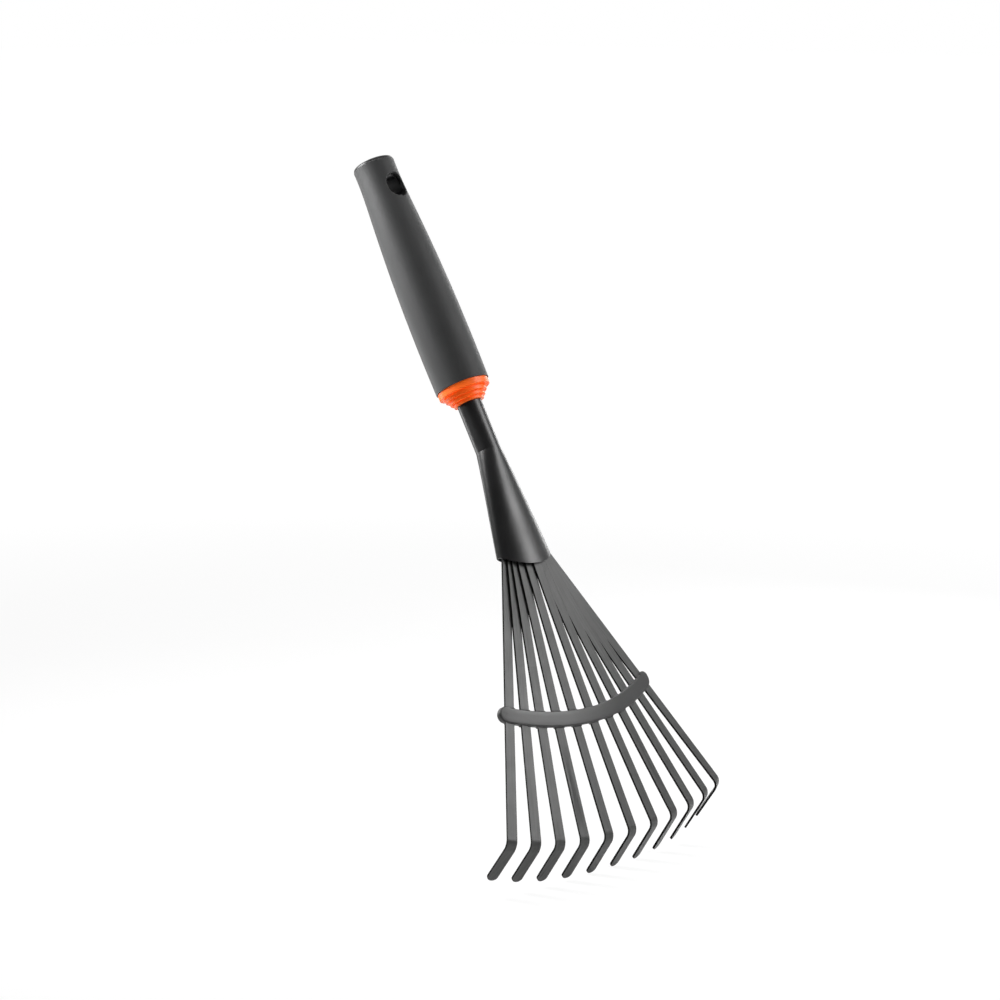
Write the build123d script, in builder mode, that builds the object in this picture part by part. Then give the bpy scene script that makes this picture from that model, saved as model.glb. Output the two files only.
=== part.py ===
from build123d import *
from math import cos, degrees, pi, radians, sin, tan
import os

# Hand rake: a fan of eleven spring-steel strips in a formed steel socket, with a
# spreader bar across the strips and a soft-covered grip on the socket's tube.
# Millimetres. +Z is up with the rake in its working stance, +X is across the fan,
# and -Y is the outer, convex side. The origin is the centre of the hanging hole.

# ---------------------------------------------------------------- driving dimensions
LEAN = 29.6                 # handle from the vertical, towards +Y
FAN_TILT = 2.8              # strips' middle line from the handle axis, towards the inner side
CLEARANCE = 0.05            # gap between pieces that are assembled, not moulded together
REACH = 200.0               # cutting tools run this far, past every piece

# Grip, measured along the handle axis from the hanging hole, + towards the butt
GRIP_END = -117.7
GRIP_RIM = 16.7
GRIP_OUTLINE = (            # (place along the axis, radius)
    (GRIP_END, 15.2),
    (-95.7, 15.4),
    (-51.7, 14.7),
    (-10.7, 12.6),
    (7.3, 11.7),
    (GRIP_RIM, 11.8),
)
COVER = 2.4                 # thickness of the soft cover over the core
COVER_ROUND = 0.4           # rounding of the cover's rim at the butt
HANG_RADIUS = 5.9           # round bore through the core
HANG_STRETCH = 1.4          # half of the extra length of the cover's oval opening
HANG_ROUND = 0.6            # rounding of that opening's edge
CORE_START = -110.7
DOME_RADIUS = 11.5          # domed end of the core, over the cover's rim
DOME_SHOULDER = (8.4, 1.9)  # its turn-over: radius, and height over the rim
DOME_HEIGHT = 3.0
DOME_NECK = 2.0             # depth of the dome's root inside the cover
DOME_SLACK = 0.3            # gap round that root

# Collar, from the grip's lower end downwards: (radius, height) of each step
COLLAR_STEPS = (
    (14.5, 3.9),
    (11.9, 2.6),
    (10.2, 2.2),
    (8.7, 1.8),
)
COLLAR_SPIGOT = 10.5        # radius of the part inside the grip
COLLAR_GROOVE = 0.3         # undercut between two steps
COLLAR_ROUND = 0.25         # rounding of each step's edges

# Shaft and socket
TUBE_RADIUS = 6.95
WALL = 0.8
TUBE_TOP = -25.0
FLARE_START = -156.1
MOUTH_DROP = -222.9         # mouth centre along the handle axis
MOUTH_OUT = 2.56            # mouth centre towards the outer side of the axis
MOUTH_HALF_WIDTH = 21.3
MOUTH_FRONT_DEPTH = 4.2     # from the line through the mouth's ends to its outer face
MOUTH_BACK_DEPTH = 4.8      # and to its inner face
MOUTH_ARCH = 6.9            # how far the mouth's ends lie behind its middle
MOUTH_SHIFT = (0.6, -1.0)   # the flare's middle line: a*share + b*share^2, towards the inner side
MOUTH_SQUARENESS = 1.1      # 0 keeps the sections elliptic
MOUTH_MARGIN = 4.0          # the flare is made this much too long, then trimmed to the lip
LIP_CURVE = (21.9, 12.6)    # half axes of the lip seen from the outer side
LIP_DROP = 0.7              # its lowest point below the mouth centre
LIP_TILT = 12.0             # the lip is cut this much higher towards the inner side
WIDTH_POWER = 0.9           # how early the flare widens
ARCH_POWER = 1.15           # how late it arches
FLARE_SHARES = (0, 0.1, 0.25, 0.5, 0.75, 1)
SECTION_POINTS = 28

# Strips; s runs from -1 to 1 over the fan
TINES = 11
TINE_WIDTH = 5.9
TINE_THICK = 1.15
TINE_INSERT = 11.0          # length hidden in the socket
ROOT_SPREAD = (24.88, -15.85, 7.15)     # across = a*s + b*s^3 + c*s^5
ROOT_RISE = 4.12            # outer strips leave the lip this much higher
ROOT_STACK = 6.15           # depth of the shingled stack from the middle to an outer strip
ROOT_ROLL = -5.5            # roll of an outer strip about its length at the socket
ELBOW_DROP = 154.3
ELBOW_RISE = 11.7
ELBOW_SPREAD = (95.25, -10.93, 1.95)
ELBOW_DEPTH = 5.2
ELBOW_ROLL = 13.9           # roll of an outer strip at the elbow
BEND_ANGLE = 60.7           # middle strip
BEND_EXTRA = 5.7            # more bend on an outer strip
BEND_RADIUS = 6.5           # outer face
END_LENGTH = 26.35          # from the bend's virtual corner to the tip

# Spreader bar
BAR_DROP = 87.9             # its middle below the mouth
BAR_ARC = 143.0             # radius of its curve seen from the outer side
BAR_DEPTH_ARC = 275.0       # radius of its curve seen along the strips
BAR_HEIGHT = 8.4
BAR_PROUD = 0.9
BAR_THICK = 2.9
LOBE_RADIUS = 4.5           # round ends
LOBE_LIFT = 0.4             # their centres lie this much above the bar's middle line
LOBE_PLACE = 58.4           # along the bar from its middle

# ---------------------------------------------------------------- base planes
LEAN_SIN = sin(radians(LEAN))
LEAN_COS = cos(radians(LEAN))
HANDLE_UP = Vector(0, LEAN_SIN, LEAN_COS)
HANDLE_OUT = Vector(0, -LEAN_COS, LEAN_SIN)
# local x across, local y towards the inner side, local z up the handle
handle = Plane(origin=(0, 0, 0), x_dir=(1, 0, 0), z_dir=HANDLE_UP)
# local x radial, local y up the handle: profiles turned about the handle axis
profile = Plane(origin=(0, 0, 0), x_dir=(1, 0, 0), z_dir=HANDLE_OUT)
handle_axis = Axis((0, 0, 0), HANDLE_UP)
# local x across, local y up the strips, local z out of the convex side
FAN_LEAN = radians(LEAN - FAN_TILT)
fan = Plane(
    origin=handle.from_local_coords(Vector(0, -MOUTH_OUT, MOUTH_DROP)),
    x_dir=(1, 0, 0),
    z_dir=(0, -cos(FAN_LEAN), sin(FAN_LEAN)),
)


def fan_point(across, down, out):
    """A point given across the fan, down the strips and out of the convex side."""
    return fan.from_local_coords(Vector(across, -down, out))


# ---------------------------------------------------------------- grip
def grip_face(skin):
    """Half outline of the grip, moved in by skin, as a closed sketch on the profile plane."""
    with BuildSketch(profile) as face:
        with BuildLine():
            side = Spline([(radius - skin, along) for along, radius in GRIP_OUTLINE])
            Polyline(side @ 1, (0, GRIP_RIM), (0, GRIP_END), side @ 0)
        make_face()
    return face.sketch


with BuildPart() as grip_cover:
    add(grip_face(0))
    revolve(axis=handle_axis)
    rim = edges().filter_by(GeomType.CIRCLE).sort_by(handle_axis)[-1]
    fillet(rim, radius=COVER_ROUND)
    with BuildSketch(profile):
        SlotCenterToCenter(2 * HANG_STRETCH, 2 * HANG_RADIUS, rotation=90)
    extrude(amount=REACH, both=True, mode=Mode.SUBTRACT)
    hole_rims = edges(Select.LAST).filter_by(Axis((0, 0, 0), HANDLE_OUT), reverse=True)
    fillet(hole_rims, radius=HANG_ROUND)
    add(revolve(grip_face(COVER), axis=handle_axis, mode=Mode.PRIVATE), mode=Mode.SUBTRACT)
grip_cover.part.label = "grip_cover"


with BuildPart() as grip_core:
    add(grip_face(COVER + CLEARANCE))
    revolve(axis=handle_axis)
    # everything below the collar's spigot is cut away
    with BuildSketch(handle.offset(CORE_START + CLEARANCE)):
        Circle(REACH)
    extrude(amount=-REACH, mode=Mode.SUBTRACT)
    # domed end that closes the grip
    neck = GRIP_OUTLINE[-1][1] - COVER - DOME_SLACK
    dome_foot = GRIP_RIM + CLEARANCE
    with BuildSketch(profile):
        with BuildLine():
            under = Polyline(
                (0, GRIP_RIM - DOME_NECK),
                (neck, GRIP_RIM - DOME_NECK),
                (neck, dome_foot),
                (DOME_RADIUS, dome_foot),
            )
            crown = Spline(
                under @ 1,
                (DOME_SHOULDER[0], GRIP_RIM + DOME_SHOULDER[1]),
                (0, GRIP_RIM + DOME_HEIGHT),
                tangents=((0, 1), (-1, 0)),
            )
            Line(crown @ 1, under @ 0)
        make_face()
    revolve(axis=handle_axis)
    # socket for the tube, and the bore of the hanging hole
    with BuildSketch(handle.offset(TUBE_TOP + CLEARANCE)):
        Circle(TUBE_RADIUS + CLEARANCE)
    extrude(amount=-REACH, mode=Mode.SUBTRACT)
    with BuildSketch(profile):
        Circle(HANG_RADIUS)
    extrude(amount=REACH, both=True, mode=Mode.SUBTRACT)
grip_core.part.label = "grip_core"

# ---------------------------------------------------------------- collar
with BuildPart() as collar:
    # half outline: each step is undercut by a groove before the next, narrower one begins
    bore = TUBE_RADIUS + CLEARANCE
    level = GRIP_END - CLEARANCE
    outline = [(bore, level)]
    step_radii = [radius for radius, _ in COLLAR_STEPS]
    groove_radii = [radius - COLLAR_GROOVE for radius in step_radii[1:]] + [bore]
    for (radius, height), groove_radius in zip(COLLAR_STEPS, groove_radii):
        step_end = level - height + COLLAR_GROOVE
        outline += [(radius, level), (radius, step_end)]
        level -= height
        outline += [(groove_radius, step_end), (groove_radius, level)]
    outline.pop()
    with BuildSketch(profile):
        with BuildLine():
            Polyline(outline, close=True)
        make_face()
    revolve(axis=handle_axis)
    step_rims = [
        rim for rim in edges().filter_by(GeomType.CIRCLE) if round(rim.radius, 3) in step_radii
    ]
    fillet(step_rims, radius=COLLAR_ROUND)
    # spigot inside the grip
    with BuildSketch(handle.offset(GRIP_END - CLEARANCE)):
        Circle(COLLAR_SPIGOT)
        Circle(bore, mode=Mode.SUBTRACT)
    extrude(amount=CORE_START - GRIP_END)
collar.part.label = "collar"


# ---------------------------------------------------------------- shaft and socket
def socket_section(share, skin):
    """Closed outline of the flared tube, share of the way to the mouth, moved in by skin."""
    half_width = TUBE_RADIUS + share**WIDTH_POWER * (MOUTH_HALF_WIDTH - TUBE_RADIUS) - skin
    front_depth = TUBE_RADIUS + share * (MOUTH_FRONT_DEPTH - TUBE_RADIUS) - skin
    back_depth = TUBE_RADIUS + share * (MOUTH_BACK_DEPTH - TUBE_RADIUS) - skin
    arch = MOUTH_ARCH * share**ARCH_POWER
    squareness = 2 / (2 + MOUTH_SQUARENESS * share)
    # local y of the handle plane grows towards the inner side
    middle = MOUTH_SHIFT[0] * share + MOUTH_SHIFT[1] * share**2
    drop = FLARE_START + share * (MOUTH_DROP - MOUTH_MARGIN - FLARE_START)
    with BuildSketch(handle.offset(drop)) as section:
        with BuildLine():
            points = []
            for n in range(SECTION_POINTS):
                turn = 2 * pi * n / SECTION_POINTS
                across = abs(cos(turn)) ** squareness * (1 if cos(turn) >= 0 else -1)
                depth = back_depth if sin(turn) >= 0 else -front_depth
                depth *= abs(sin(turn)) ** squareness
                points.append((half_width * across, middle + depth + arch * across**2))
            Spline(points, periodic=True)
        make_face()
    return section.sketch


with BuildPart() as shaft_socket:
    tube_length = TUBE_TOP - CLEARANCE - FLARE_START
    for skin, mode in ((0, Mode.ADD), (WALL, Mode.SUBTRACT)):
        loft([socket_section(share, skin) for share in FLARE_SHARES], mode=mode)
        extrude(socket_section(0, skin), amount=tube_length, mode=mode)
    # the lip is lowest in the middle and turns up at its two corners
    lip_lean = FAN_LEAN - radians(LIP_TILT)
    with BuildSketch(Plane(fan.origin, x_dir=(1, 0, 0), z_dir=(0, -cos(lip_lean), sin(lip_lean)))):
        with Locations((0, LIP_CURVE[1] - LIP_DROP)):
            Rectangle(REACH, REACH, align=(Align.CENTER, Align.MAX))
            Ellipse(*LIP_CURVE, mode=Mode.SUBTRACT)
    extrude(amount=REACH, both=True, mode=Mode.SUBTRACT)
shaft_socket.part.label = "shaft_socket"


# ---------------------------------------------------------------- strips
def spread(shares, s):
    """Odd polynomial a*s + b*s^3 + c*s^5."""
    return sum(share * s ** (2 * n + 1) for n, share in enumerate(shares))


def tine_frame(number):
    """Root and elbow of the strip's outer face, its direction, and its outward face at each."""
    s = 2 * number / (TINES - 1) - 1
    root = fan_point(spread(ROOT_SPREAD, s), -ROOT_RISE * s * s, -ROOT_STACK * abs(s))
    elbow = fan_point(
        spread(ELBOW_SPREAD, s), ELBOW_DROP - ELBOW_RISE * s * s, -ELBOW_DEPTH * s * s
    )
    along = (elbow - root).normalized()
    outward = []
    for roll in (radians(ROOT_ROLL * s), radians(ELBOW_ROLL * s)):
        rolled = fan.x_dir * sin(roll) + fan.z_dir * cos(roll)
        outward.append((rolled - along * rolled.dot(along)).normalized())
    return root, elbow, along, outward[0], outward[1], BEND_ANGLE + BEND_EXTRA * s * s


tines = []
for number in range(TINES):
    root, elbow, along, root_out, elbow_out, bend_angle = tine_frame(number)
    bend = radians(bend_angle)
    tangent_length = BEND_RADIUS * tan(bend / 2)
    bend_start = elbow - along * tangent_length
    bend_axis = elbow_out.cross(along)
    end_along = along * cos(bend) - elbow_out * sin(bend)
    end_out = along * sin(bend) + elbow_out * cos(bend)
    tip_radius = TINE_WIDTH / 2
    end_straight = END_LENGTH - tangent_length - tip_radius
    root_plane = Plane(root - along * TINE_INSERT, x_dir=root_out.cross(along), z_dir=along)
    bend_plane = Plane(bend_start, x_dir=bend_axis, z_dir=along)
    end_plane = Plane(elbow + end_along * tangent_length, x_dir=bend_axis, z_dir=end_out)
    with BuildPart() as tine:
        for plane in (root_plane, bend_plane):
            with BuildSketch(plane):
                Rectangle(TINE_WIDTH, TINE_THICK, align=(Align.CENTER, Align.MAX))
        loft(ruled=True)
        with BuildSketch(bend_plane):
            Rectangle(TINE_WIDTH, TINE_THICK, align=(Align.CENTER, Align.MAX))
        revolve(
            axis=Axis(bend_start - elbow_out * BEND_RADIUS, bend_axis),
            revolution_arc=bend_angle,
        )
        with BuildSketch(end_plane):
            Rectangle(TINE_WIDTH, end_straight, align=(Align.CENTER, Align.MAX))
            with Locations((0, -end_straight)):
                Circle(tip_radius)
        extrude(amount=-TINE_THICK)
    tine.part.label = f"tine_{number + 1:02d}"
    tines.append(tine)

# ---------------------------------------------------------------- spreader bar
with BuildPart() as spreader_bar:
    # front outline: a bar curved about a centre up the fan, with a round lobe at each end
    lobe_turn = degrees(LOBE_PLACE / BAR_ARC)
    with BuildSketch(fan):
        with BuildLine():
            middle_arc = CenterArc(
                (0, BAR_ARC - BAR_DROP), BAR_ARC, 270 - lobe_turn, 2 * lobe_turn
            )
        SlotArc(middle_arc, BAR_HEIGHT)
        with Locations((0, BAR_ARC - BAR_DROP)):
            with PolarLocations(BAR_ARC - LOBE_LIFT, 2, 270 - lobe_turn, 4 * lobe_turn):
                Circle(LOBE_RADIUS)
    extrude(amount=REACH, both=True)
    # curve seen along the strips
    across_plane = Plane(fan.origin, x_dir=(1, 0, 0), z_dir=fan.y_dir)
    with BuildSketch(across_plane):
        with Locations((0, BAR_DEPTH_ARC)):
            Circle(BAR_DEPTH_ARC + BAR_PROUD)
            Circle(BAR_DEPTH_ARC + BAR_PROUD - BAR_THICK, mode=Mode.SUBTRACT)
    extrude(amount=REACH, both=True, mode=Mode.INTERSECT)
    for tine in tines:
        add(tine.part, mode=Mode.SUBTRACT)
spreader_bar.part.label = "spreader_bar"

# ---------------------------------------------------------------- export
os.makedirs("parts", exist_ok=True)
for piece in [grip_cover, grip_core, collar, shaft_socket, *tines, spreader_bar]:
    export_step(piece.part, f"parts/{piece.part.label}.step")
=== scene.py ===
import math

import bmesh
import bpy
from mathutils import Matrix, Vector


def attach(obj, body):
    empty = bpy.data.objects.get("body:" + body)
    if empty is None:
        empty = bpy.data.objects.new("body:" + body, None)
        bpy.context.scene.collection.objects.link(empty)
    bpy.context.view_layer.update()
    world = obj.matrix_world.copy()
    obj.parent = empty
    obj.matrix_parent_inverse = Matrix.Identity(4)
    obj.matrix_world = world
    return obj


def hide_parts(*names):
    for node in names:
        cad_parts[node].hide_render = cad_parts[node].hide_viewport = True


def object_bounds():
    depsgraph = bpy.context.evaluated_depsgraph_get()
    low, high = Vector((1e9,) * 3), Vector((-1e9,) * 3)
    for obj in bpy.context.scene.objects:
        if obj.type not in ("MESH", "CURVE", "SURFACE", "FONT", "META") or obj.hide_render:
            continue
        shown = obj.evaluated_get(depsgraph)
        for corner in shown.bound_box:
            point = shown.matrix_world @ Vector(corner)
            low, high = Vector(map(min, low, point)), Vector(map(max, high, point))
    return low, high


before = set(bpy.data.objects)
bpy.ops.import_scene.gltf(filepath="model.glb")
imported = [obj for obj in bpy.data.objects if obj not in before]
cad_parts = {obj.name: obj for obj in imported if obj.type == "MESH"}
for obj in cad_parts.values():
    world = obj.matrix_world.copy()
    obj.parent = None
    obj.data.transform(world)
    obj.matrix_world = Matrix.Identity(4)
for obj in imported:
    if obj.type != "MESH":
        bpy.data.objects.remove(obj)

scene = bpy.context.scene
cad_lo, cad_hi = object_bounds()
MM = 0.001

# the fan's plane: the middle of the socket's mouth, and the ways across, down and out of the fan
LEAN = math.radians(29.6)
FAN_LEAN = math.radians(26.8)
HANDLE_UP = Vector((0, math.sin(LEAN), math.cos(LEAN)))
HANDLE_OUT = Vector((0, -math.cos(LEAN), math.sin(LEAN)))
FAN_ACROSS = Vector((1, 0, 0))
FAN_DOWN = Vector((0, -math.sin(FAN_LEAN), -math.cos(FAN_LEAN)))
FAN_OUT = Vector((0, -math.cos(FAN_LEAN), math.sin(FAN_LEAN)))
FAN_ORIGIN = HANDLE_UP * -222.9 + HANDLE_OUT * 2.56


def fan_point(across, down, out):
    """A point given in millimetres on the fan's plane, in the row frame's metres."""
    return (FAN_ORIGIN + FAN_ACROSS * across + FAN_DOWN * down + FAN_OUT * out) * MM


# ---------------------------------------------------------------- materials
WEAR_RADIUS = 0.35 * MM     # how far from an edge wear reaches
WEAR_TURN = (0.98, 0.75)    # dot product of rounded and true normal, where wear starts and is full
SCUFF_SCALE = 900           # cells per metre of the patches where an edge is worn
STREAK_SCALE = 900          # cells per metre of the streaks, across a strip
STREAK_STRETCH = 0.05       # the same along it, as a share


def new_material(name):
    material = bpy.data.materials.new(name)
    material.use_nodes = True
    return material, material.node_tree, material.node_tree.nodes["Principled BSDF"]


def noise(tree, scale, detail, roughness):
    """Noise in the row frame; scale is in cells per metre."""
    coordinates = tree.nodes.new("ShaderNodeTexCoord")
    texture = tree.nodes.new("ShaderNodeTexNoise")
    texture.inputs["Scale"].default_value = scale
    texture.inputs["Detail"].default_value = detail
    texture.inputs["Roughness"].default_value = roughness
    tree.links.new(coordinates.outputs["Object"], texture.inputs["Vector"])
    return texture.outputs["Fac"]


def remap(tree, value, low, high, to_low, to_high):
    node = tree.nodes.new("ShaderNodeMapRange")
    node.inputs["From Min"].default_value = low
    node.inputs["From Max"].default_value = high
    node.inputs["To Min"].default_value = to_low
    node.inputs["To Max"].default_value = to_high
    tree.links.new(value, node.inputs["Value"])
    return node.outputs["Result"]


def math_node(tree, operation, a, b):
    node = tree.nodes.new("ShaderNodeMath")
    node.operation = operation
    for socket, value in zip(node.inputs, (a, b)):
        if isinstance(value, (int, float)):
            socket.default_value = value
        else:
            tree.links.new(value, socket)
    return node.outputs["Value"]


def mix_color(tree, factor, a, b):
    node = tree.nodes.new("ShaderNodeMix")
    node.data_type = "RGBA"
    tree.links.new(factor, node.inputs["Factor"])
    for socket, value in ((node.inputs["A"], a), (node.inputs["B"], b)):
        if isinstance(value, tuple):
            socket.default_value = (*value, 1)
        else:
            tree.links.new(value, socket)
    return node.outputs["Result"]


def edge_mask(tree):
    """1 on edges, 0 on faces: how far a rounded normal leaves the true one."""
    bevel = tree.nodes.new("ShaderNodeBevel")
    bevel.samples = 4
    bevel.inputs["Radius"].default_value = WEAR_RADIUS
    geometry = tree.nodes.new("ShaderNodeNewGeometry")
    dot = tree.nodes.new("ShaderNodeVectorMath")
    dot.operation = "DOT_PRODUCT"
    tree.links.new(bevel.outputs["Normal"], dot.inputs[0])
    tree.links.new(geometry.outputs["Normal"], dot.inputs[1])
    return remap(tree, dot.outputs["Value"], *WEAR_TURN, 0, 1)


def bump(tree, shader, layers):
    """Bump from (height, depth in metres) layers, one on top of the other."""
    normal = None
    for height, depth in layers:
        node = tree.nodes.new("ShaderNodeBump")
        node.inputs["Strength"].default_value = 1.0
        node.inputs["Distance"].default_value = depth
        tree.links.new(height, node.inputs["Height"])
        if normal is not None:
            tree.links.new(normal, node.inputs["Normal"])
        normal = node.outputs["Normal"]
    tree.links.new(normal, shader.inputs["Normal"])


def surface(name, color, spread, roughness, rough_spread, patch, grain, grain_depth,
            wear, wear_share, specular=0.5, sheen=0.0):
    """A coated or moulded surface: patchy colour and gloss, a fine grain, and edges worn to wear."""
    material, tree, shader = new_material(name)
    patches = noise(tree, patch, 4.0, 0.6)
    specks = noise(tree, grain * 0.6, 2.0, 0.5)
    light = tuple(c * (1 + spread) for c in color)
    dark = tuple(c * (1 - spread) for c in color)
    tone = math_node(tree, "ADD", math_node(tree, "MULTIPLY", patches, 0.7),
                     math_node(tree, "MULTIPLY", specks, 0.3))
    base = mix_color(tree, remap(tree, tone, 0.35, 0.65, 0, 1), dark, light)
    gloss = remap(tree, patches, 0.3, 0.7, roughness - rough_spread, roughness + rough_spread)
    scuffs = remap(tree, noise(tree, SCUFF_SCALE, 5.0, 0.65), 0.42, 0.62, 0, 1)
    edges = math_node(tree, "MULTIPLY", edge_mask(tree), scuffs)
    edges = math_node(tree, "MULTIPLY", edges, wear_share)
    base = mix_color(tree, edges, base, wear)
    tree.links.new(base, shader.inputs["Base Color"])
    tree.links.new(gloss, shader.inputs["Roughness"])
    shader.inputs["Specular IOR Level"].default_value = specular
    shader.inputs["Sheen Weight"].default_value = sheen
    shader.inputs["Sheen Roughness"].default_value = 0.5
    bump(tree, shader, [(patches, 4 * grain_depth), (noise(tree, grain, 2.0, 0.5), grain_depth)])
    return material


rubber = surface(
    "soft_rubber", color=(0.022, 0.0225, 0.023), spread=0.10, roughness=0.60, rough_spread=0.04,
    patch=60, grain=2600, grain_depth=0.02 * MM,
    wear=(0.075, 0.075, 0.077), wear_share=0.35, specular=0.42, sheen=0.16,
)
core_plastic = surface(
    "black_plastic", color=(0.012, 0.012, 0.0125), spread=0.10, roughness=0.36, rough_spread=0.04,
    patch=80, grain=1800, grain_depth=0.004 * MM,
    wear=(0.04, 0.04, 0.041), wear_share=0.3,
)
orange_plastic = surface(
    "orange_plastic", color=(0.95, 0.135, 0.010), spread=0.04, roughness=0.42, rough_spread=0.04,
    patch=70, grain=1800, grain_depth=0.004 * MM,
    wear=(0.98, 0.25, 0.06), wear_share=0.3, specular=0.35,
)
black_coat = surface(
    "black_powder_coat", color=(0.010, 0.010, 0.0105), spread=0.12, roughness=0.37, rough_spread=0.03,
    patch=70, grain=2200, grain_depth=0.006 * MM,
    wear=(0.06, 0.06, 0.062), wear_share=0.5, specular=0.50,
)
tine_coat = surface(
    "graphite_powder_coat", color=(0.056, 0.056, 0.055), spread=0.12, roughness=0.42, rough_spread=0.05,
    patch=90, grain=2000, grain_depth=0.015 * MM,
    wear=(0.13, 0.13, 0.128), wear_share=0.5, specular=0.45,
)
bar_plastic = surface(
    "spreader_plastic", color=(0.046, 0.046, 0.046), spread=0.07, roughness=0.38, rough_spread=0.04,
    patch=60, grain=2200, grain_depth=0.005 * MM,
    wear=(0.10, 0.10, 0.10), wear_share=0.3, specular=0.45,
)


def add_glow(material, color, strength):
    """A little light of a material's own, chosen for the look: the real plastic gives none."""
    shader = material.node_tree.nodes["Principled BSDF"]
    shader.inputs["Emission Color"].default_value = (*color, 1)
    shader.inputs["Emission Strength"].default_value = strength


def paint_wall_shade(material, color, specular, roughness):
    """Paint shade on a strip's narrow walls, marked on its mesh: a darker and rougher coat there, with
    less gloss, is painted shade standing in for the shade between the strips.
    """
    tree = material.node_tree
    shader = tree.nodes["Principled BSDF"]
    attribute = tree.nodes.new("ShaderNodeAttribute")
    attribute.attribute_name = "wall"
    wall = attribute.outputs["Fac"]
    for name, value in (("Base Color", color), ("Roughness", roughness)):
        before = shader.inputs[name].links[0].from_socket
        if name == "Base Color":
            tree.links.new(mix_color(tree, wall, before, value), shader.inputs[name])
        else:
            kept = math_node(tree, "MULTIPLY", before, math_node(tree, "SUBTRACT", 1.0, wall))
            added = math_node(tree, "MULTIPLY", wall, value)
            tree.links.new(math_node(tree, "ADD", kept, added), shader.inputs[name])
    face_specular = shader.inputs["Specular IOR Level"].default_value
    tree.links.new(
        remap(tree, wall, 0, 1, face_specular, specular), shader.inputs["Specular IOR Level"]
    )


def add_streaks(material, strength):
    """Fine streaks along each strip, from the place across it that is stored on its mesh."""
    tree = material.node_tree
    shader = tree.nodes["Principled BSDF"]
    attribute = tree.nodes.new("ShaderNodeAttribute")
    attribute.attribute_name = "lane"
    coordinates = tree.nodes.new("ShaderNodeTexCoord")
    split = tree.nodes.new("ShaderNodeSeparateXYZ")
    tree.links.new(coordinates.outputs["Object"], split.inputs["Vector"])
    place = tree.nodes.new("ShaderNodeCombineXYZ")
    tree.links.new(attribute.outputs["Fac"], place.inputs["X"])
    tree.links.new(math_node(tree, "MULTIPLY", split.outputs["Z"], STREAK_STRETCH), place.inputs["Y"])
    texture = tree.nodes.new("ShaderNodeTexNoise")
    texture.inputs["Scale"].default_value = STREAK_SCALE
    texture.inputs["Detail"].default_value = 3
    tree.links.new(place.outputs["Vector"], texture.inputs["Vector"])
    streak = remap(tree, texture.outputs["Fac"], 0.3, 0.7, 1 - strength, 1 + strength)
    before = shader.inputs["Base Color"].links[0].from_socket
    scale = tree.nodes.new("ShaderNodeVectorMath")
    scale.operation = "SCALE"
    tree.links.new(before, scale.inputs[0])
    tree.links.new(streak, scale.inputs["Scale"])
    tree.links.new(scale.outputs["Vector"], shader.inputs["Base Color"])


add_glow(orange_plastic, (1.0, 0.14, 0.01), 0.2)
add_streaks(tine_coat, strength=0.22)
# painted shade: near-black, dull walls on the strips stand in for the shade between them
paint_wall_shade(tine_coat, color=(0.006, 0.006, 0.006), specular=0.12, roughness=0.7)


def dress(piece, material):
    """Give a piece its one material."""
    piece.data.materials.clear()
    piece.data.materials.append(material)


# ---------------------------------------------------------------- pieces carried over from the CAD
dress(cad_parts["grip_cover"], rubber)
dress(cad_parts["grip_core"], core_plastic)
dress(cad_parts["collar"], orange_plastic)
dress(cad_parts["shaft_socket"], black_coat)


# ---------------------------------------------------------------- strips
STRIPS = 11
STRIP_WIDTH = 5.9
STRIP_EDGE = 0.14 * MM      # rounding that stamping and coating leave on a strip's edges
# places on the fan's plane, in powers of s, which runs from -1 to 1 over the fan
ROOT_ACROSS = (24.88, -15.85, 7.15)
ROOT_RISE = 4.12
ELBOW_ACROSS = (95.25, -10.93, 1.95)
ELBOW_DOWN = 154.3
ELBOW_RISE = 11.7
SMOOTH_TURN = math.radians(12)      # faces that meet at less than this belong to one side of a strip
SHARP_TURN = math.radians(40)       # edges that turn more than this are rounded
FLAT_TURN = math.radians(0.5)       # edges that turn less than this are only tessellation
BROAD_AREA = 600 * MM * MM          # a strip's two faces are larger than this, its walls smaller
WELD = 0.002 * MM
STREAK_STEP = 0.1                   # keeps one strip's streaks from repeating on the next


def strip_line(number):
    """Root and elbow of a strip's middle line, as (across, down) on the fan's plane."""
    s = 2 * (number - 1) / (STRIPS - 1) - 1
    root = sum(share * s ** (2 * n + 1) for n, share in enumerate(ROOT_ACROSS))
    elbow = sum(share * s ** (2 * n + 1) for n, share in enumerate(ELBOW_ACROSS))
    return (root, -ROOT_RISE * s * s), (elbow, ELBOW_DOWN - ELBOW_RISE * s * s)


def mark_walls(shape):
    """Store 1 on the narrow walls around a strip and 0 on its two broad faces."""
    wall = shape.faces.layers.float.new("wall")
    left = set(shape.faces)
    while left:
        region = [left.pop()]
        for face in region:
            for edge in face.edges:
                for other in edge.link_faces:
                    if other in left and edge.calc_face_angle(0) < SMOOTH_TURN:
                        left.remove(other)
                        region.append(other)
        area = sum(face.calc_area() for face in region)
        for face in region:
            face[wall] = 1 if area < BROAD_AREA else 0


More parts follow.
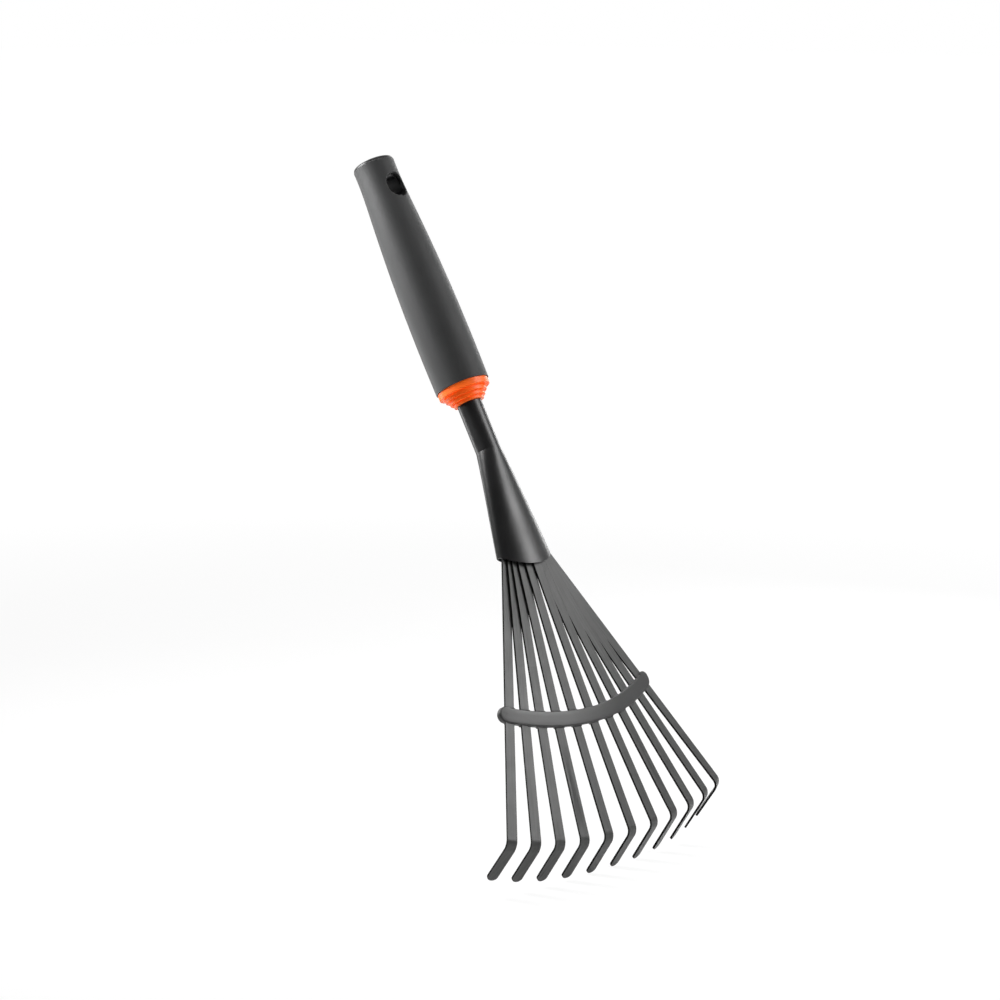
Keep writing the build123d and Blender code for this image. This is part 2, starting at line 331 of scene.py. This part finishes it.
def make_strip(number):
    """The CAD strip with its sharp edges rounded; 3, 4, 8 and 9 come out with almost no rounding."""
    node = f"tine_{number:02d}"
    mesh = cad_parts[node].data.copy()
    mesh.name = f"strip_{number:02d}"
    shape = bmesh.new()
    shape.from_mesh(mesh)
    bmesh.ops.remove_doubles(shape, verts=shape.verts, dist=WELD)
    bmesh.ops.dissolve_limit(shape, angle_limit=FLAT_TURN, verts=shape.verts, edges=shape.edges)
    sharp = [
        e for e in shape.edges
        if len(e.link_faces) == 2 and e.calc_face_angle() > SHARP_TURN
    ]
    bmesh.ops.bevel(
        shape, geom=sharp, offset=STRIP_EDGE, offset_type="OFFSET", segments=3,
        profile=0.5, affect="EDGES", clamp_overlap=True,
    )
    mark_walls(shape)
    root, elbow = (fan_point(*place, 0) for place in strip_line(number))
    sideways = FAN_OUT.cross(elbow - root).normalized()
    lane = shape.verts.layers.float.new("lane")
    for vert in shape.verts:
        # each strip starts at its own place in the streaks
        vert[lane] = (vert.co - root).dot(sideways) + STREAK_STEP * number
    for face in shape.faces:
        face.smooth = True
    shape.to_mesh(mesh)
    shape.free()
    if "custom_normal" in mesh.attributes:
        mesh.attributes.remove(mesh.attributes["custom_normal"])
    piece = bpy.data.objects.new(f"strip_{number:02d}", mesh)
    scene.collection.objects.link(piece)
    weighted = piece.modifiers.new("even_normals", "WEIGHTED_NORMAL")
    weighted.keep_sharp = False
    weighted.weight = 100
    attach(piece, "root")
    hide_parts(node)
    dress(piece, tine_coat)


for strip_number in range(1, STRIPS + 1):
    make_strip(strip_number)

# ---------------------------------------------------------------- spreader bar
BAR_ARC = 143.0             # radius of the bar's curve seen from the front
BAR_DROP = 87.9             # from the mouth to the bar's middle
BAR_HEIGHT = 8.4
BAR_THICK = 2.9
BAR_PROUD = 0.9             # how far its front stands above the strips
BAR_DEPTH_ARC = 275.0       # radius of its curve seen along the strips
UPPER_ROUND = (0.5, 0.5)    # rounding of the front's upper rim: in from the outline, and deep
LOWER_ROUND = (0.9, 0.6)    # the lower rim is broader and softer
BACK_ROUND = (0.6, 0.6)
BAR_FILLET = 0.6            # fillets in the corners between the bar and the strips
LOBE_RADIUS = 4.5           # round ends
LOBE_LIFT = 0.4
LOBE_PLACE = 58.4           # along the bar from its middle
BAR_STATIONS = 700


def strip_place(number, side):
    """Where along the bar a strip crosses its lower (side 1) or upper (side -1) edge."""
    (root_x, root_down), (elbow_x, elbow_down) = strip_line(number)
    low, high = 0.0, 1.0
    for _ in range(30):
        share = (low + high) / 2
        across = root_x + share * (elbow_x - root_x)
        down = root_down + share * (elbow_down - root_down) + BAR_ARC - BAR_DROP
        if math.hypot(across, down) < BAR_ARC + side * BAR_HEIGHT / 2:
            low = share
        else:
            high = share
    return BAR_ARC * math.atan2(across, down)


STRIP_PLACES = {side: [strip_place(n, side) for n in range(1, STRIPS + 1)] for side in (1, -1)}


def fillet_height(place, side):
    """How far the bar's edge swells towards the nearest strip."""
    gap = min(abs(place - middle) for middle in STRIP_PLACES[side]) - STRIP_WIDTH / 2
    run = min(max(BAR_FILLET - gap, 0), BAR_FILLET)
    return BAR_FILLET - math.sqrt(BAR_FILLET**2 - run**2)


def bar_edge(place, inset, fillet, side):
    """Half height of the bar at a place along it, towards one side, moved in by inset."""
    share = 1 - inset / (BAR_HEIGHT / 2)
    lobe = LOBE_RADIUS * share
    beyond = abs(place) - LOBE_PLACE
    heights = []
    if beyond < 0:
        heights.append(BAR_HEIGHT / 2 * share + fillet * fillet_height(place, side))
    if abs(beyond) < lobe or beyond >= 0:
        heights.append(math.sqrt(max(lobe**2 - beyond**2, 0)) - LOBE_LIFT * side)
    return max(heights)


def bar_side(inset, fillet, side):
    """One long side of the bar's outline, from end to end, as (place, offset from the arc)."""
    end = LOBE_PLACE + LOBE_RADIUS * (1 - inset / (BAR_HEIGHT / 2))
    places = [-end * math.cos(math.pi * n / BAR_STATIONS) for n in range(BAR_STATIONS + 1)]
    return [(place, side * bar_edge(place, inset, fillet, side)) for place in places]


def rounding(depth, inset, deep):
    """How far a rim rounded as a quarter ellipse lies inside the outline at a depth."""
    return inset * (1 - math.sqrt(1 - max(1 - depth / deep, 0) ** 2))


def make_bar():
    """The bar as rings around its outline, from its front middle line over the rim to its back."""
    # depth, how far in the lower and the upper side lie, and whether the fillets show
    rings = [(0.0, BAR_HEIGHT / 2, BAR_HEIGHT / 2, 0), (0.0, BAR_HEIGHT / 3, BAR_HEIGHT / 3, 0)]
    for depth in (0.0, 0.02, 0.08, 0.16, 0.26, 0.38, 0.5, 0.65, 0.8, BAR_PROUD):
        fillet = 1 if depth == BAR_PROUD else 0
        rings.append((depth, rounding(depth, *LOWER_ROUND), rounding(depth, *UPPER_ROUND), fillet))
    for depth in (0.6, 0.4, 0.22, 0.1, 0.0):
        inset = rounding(depth, *BACK_ROUND)
        rings.append((BAR_THICK - depth, inset, inset, 1 if depth > 0.2 else 0))
    rings.append((BAR_THICK, BAR_HEIGHT / 3, BAR_HEIGHT / 3, 0))
    rings.append((BAR_THICK, BAR_HEIGHT / 2, BAR_HEIGHT / 2, 0))
    shape = bmesh.new()
    loops = []
    for depth, lower, upper, fillet in rings:
        swell = BAR_DEPTH_ARC + BAR_PROUD - depth
        outline = bar_side(lower, fillet, 1) + bar_side(upper, fillet, -1)[::-1]
        loop = []
        for place, offset in outline:
            turn = place / BAR_ARC
            across = (BAR_ARC + offset) * math.sin(turn)
            down = (BAR_ARC + offset) * math.cos(turn) - BAR_ARC + BAR_DROP
            out = math.sqrt(swell**2 - across**2) - BAR_DEPTH_ARC
            loop.append(shape.verts.new(fan_point(across, down, out)))
        loops.append(loop)
    for first, second in zip(loops, loops[1:]):
        for n in range(len(first)):
            m = (n + 1) % len(first)
            shape.faces.new((first[n], first[m], second[m], second[n]))
    bmesh.ops.remove_doubles(shape, verts=shape.verts, dist=0.003 * MM)
    bmesh.ops.dissolve_degenerate(shape, dist=0.002 * MM, edges=shape.edges)
    bmesh.ops.recalc_face_normals(shape, faces=shape.faces)
    for face in shape.faces:
        face.smooth = True
    mesh = bpy.data.meshes.new("spreader")
    shape.to_mesh(mesh)
    shape.free()
    piece = bpy.data.objects.new("spreader", mesh)
    scene.collection.objects.link(piece)
    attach(piece, "root")
    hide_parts("spreader_bar")
    dress(piece, bar_plastic)


make_bar()

# ---------------------------------------------------------------- camera, floor and light
LENS_MM = 115.2
SENSOR_MM = 36.0
VIEW_AZIMUTH = -48.07
VIEW_ELEVATION = 9.65
VIEW_DISTANCE = 1.780
VIEW_TARGET = Vector((0.03021, -0.05856, -0.1690))
FLOOR_SIZE = 12.0
FLOOR_GAP = 0.0002
FLOOR_FADE = (0.6, 1.1)     # from the origin, where the floor's own colour changes from near to far
FLOOR_NEAR = (0.8, 0.8, 0.8)
FLOOR_FAR = (0.25, 0.25, 0.25)
FLOOR_EVENNESS = 0.8        # share of what the camera sees of the floor that is its own even glow
FLOOR_GLOW = (1.05, 1.24)   # near the rake and far away
GRIP_TOP = HANDLE_UP * -0.008
SHAFT_MIDDLE = HANDLE_UP * -0.168


def direction(azimuth, elevation):
    """Unit vector towards a place around the rake; azimuth 0 is -Y, 90 is +X, in degrees."""
    a, e = math.radians(azimuth), math.radians(elevation)
    return Vector((math.sin(a) * math.cos(e), -math.cos(a) * math.cos(e), math.sin(e)))


def make_camera():
    """The photographer's view: from the rake's front left, a little above it."""
    data = bpy.data.cameras.new("camera")
    data.lens = LENS_MM
    data.sensor_width = SENSOR_MM
    data.clip_end = 20
    camera = bpy.data.objects.new("camera", data)
    scene.collection.objects.link(camera)
    back = direction(VIEW_AZIMUTH, VIEW_ELEVATION)
    camera.location = VIEW_TARGET + back * VIEW_DISTANCE
    camera.rotation_mode = "QUATERNION"
    camera.rotation_quaternion = (-back).to_track_quat("-Z", "Y")
    scene.camera = camera


def make_floor():
    """White paper; the camera alone sees it mixed with an even glow that keeps it plain white."""
    mesh = bpy.data.meshes.new("floor")
    z = cad_lo.z - FLOOR_GAP
    corners = [(x * FLOOR_SIZE, y * FLOOR_SIZE, z) for x, y in ((-1, -1), (1, -1), (1, 1), (-1, 1))]
    mesh.from_pydata(corners, [], [(0, 1, 2, 3)])
    floor = bpy.data.objects.new("floor", mesh)
    scene.collection.objects.link(floor)
    material, tree, shader = new_material("white_paper")
    shader.inputs["Roughness"].default_value = 0.9
    shader.inputs["Specular IOR Level"].default_value = 0.0
    coordinates = tree.nodes.new("ShaderNodeTexCoord")
    length = tree.nodes.new("ShaderNodeVectorMath")
    length.operation = "LENGTH"
    tree.links.new(coordinates.outputs["Object"], length.inputs[0])
    far = remap(tree, length.outputs["Value"], *FLOOR_FADE, 0, 1)
    tree.links.new(mix_color(tree, far, FLOOR_NEAR, FLOOR_FAR), shader.inputs["Base Color"])
    glow = tree.nodes.new("ShaderNodeEmission")
    tree.links.new(remap(tree, far, 0, 1, *FLOOR_GLOW), glow.inputs["Strength"])
    path = tree.nodes.new("ShaderNodeLightPath")
    mix = tree.nodes.new("ShaderNodeMixShader")
    evenness = math_node(tree, "MULTIPLY", path.outputs["Is Camera Ray"], FLOOR_EVENNESS)
    tree.links.new(evenness, mix.inputs["Fac"])
    tree.links.new(shader.outputs["BSDF"], mix.inputs[1])
    tree.links.new(glow.outputs["Emission"], mix.inputs[2])
    tree.links.new(mix.outputs["Shader"], tree.nodes["Material Output"].inputs["Surface"])
    mesh.materials.append(material)


def softbox(name, azimuth, elevation, distance, width, height, watts, aim):
    """A soft rectangular light that looks at aim from a direction in degrees; sizes in metres."""
    data = bpy.data.lights.new(name, "AREA")
    data.shape = "RECTANGLE"
    data.size = width
    data.size_y = height
    data.energy = watts
    light = bpy.data.objects.new(name, data)
    scene.collection.objects.link(light)
    towards = direction(azimuth, elevation)
    light.location = aim + towards * distance
    light.rotation_mode = "QUATERNION"
    light.rotation_quaternion = towards.to_track_quat("Z", "Y")
    light.visible_camera = False


def make_world():
    """White behind the rake, dim on the photographer's side; the camera itself sees plain white."""
    world = bpy.data.worlds.new("studio")
    world.use_nodes = True
    tree = world.node_tree
    output = tree.nodes["World Output"]
    seen = tree.nodes["Background"]
    seen.inputs["Color"].default_value = (1, 1, 1, 1)
    seen.inputs["Strength"].default_value = 1.0
    room = tree.nodes.new("ShaderNodeBackground")
    coordinates = tree.nodes.new("ShaderNodeTexCoord")
    dot = tree.nodes.new("ShaderNodeVectorMath")
    dot.operation = "DOT_PRODUCT"
    dot.inputs[1].default_value = -direction(VIEW_AZIMUTH, 0)
    tree.links.new(coordinates.outputs["Generated"], dot.inputs[0])
    level = remap(tree, dot.outputs["Value"], 0.0, 0.6, 0.04, 0.8)
    shade = remap(tree, dot.outputs["Value"], 0.8, 0.95, 1.0, 0.35)
    level = math_node(tree, "MULTIPLY", level, shade)
    # a dimmer patch beyond the rake's right side keeps the tube's right edge from glaring
    screen = tree.nodes.new("ShaderNodeVectorMath")
    screen.operation = "DOT_PRODUCT"
    screen.inputs[1].default_value = direction(100, 5)
    tree.links.new(coordinates.outputs["Generated"], screen.inputs[0])
    dimmed = remap(tree, screen.outputs["Value"], 0.7, 0.92, 1.0, 0.65)
    level = math_node(tree, "MULTIPLY", level, dimmed)
    room.inputs["Color"].default_value = (1, 1, 1, 1)
    tree.links.new(level, room.inputs["Strength"])
    path = tree.nodes.new("ShaderNodeLightPath")
    mix = tree.nodes.new("ShaderNodeMixShader")
    tree.links.new(path.outputs["Is Camera Ray"], mix.inputs["Fac"])
    tree.links.new(room.outputs["Background"], mix.inputs[1])
    tree.links.new(seen.outputs["Background"], mix.inputs[2])
    tree.links.new(mix.outputs["Shader"], output.inputs["Surface"])
    scene.world = world
    scene.view_settings.view_transform = "Standard"


make_camera()
make_floor()
make_world()
softbox("softbox_left", -132, 20, 0.30, 0.20, 0.26, 2.7, GRIP_TOP)
softbox("softbox_right", 36, 31, 1.0, 0.5, 0.5, 7.2, SHAFT_MIDDLE)
softbox("softbox_rim", 106, 16, 0.7, 0.12, 0.5, 1.5, SHAFT_MIDDLE)
softbox("softbox_edge", -170, -14, 0.42, 0.12, 0.34, 0.65, SHAFT_MIDDLE)
softbox("softbox_top", -30, 80, 1.6, 1.4, 1.4, 5.0, SHAFT_MIDDLE)
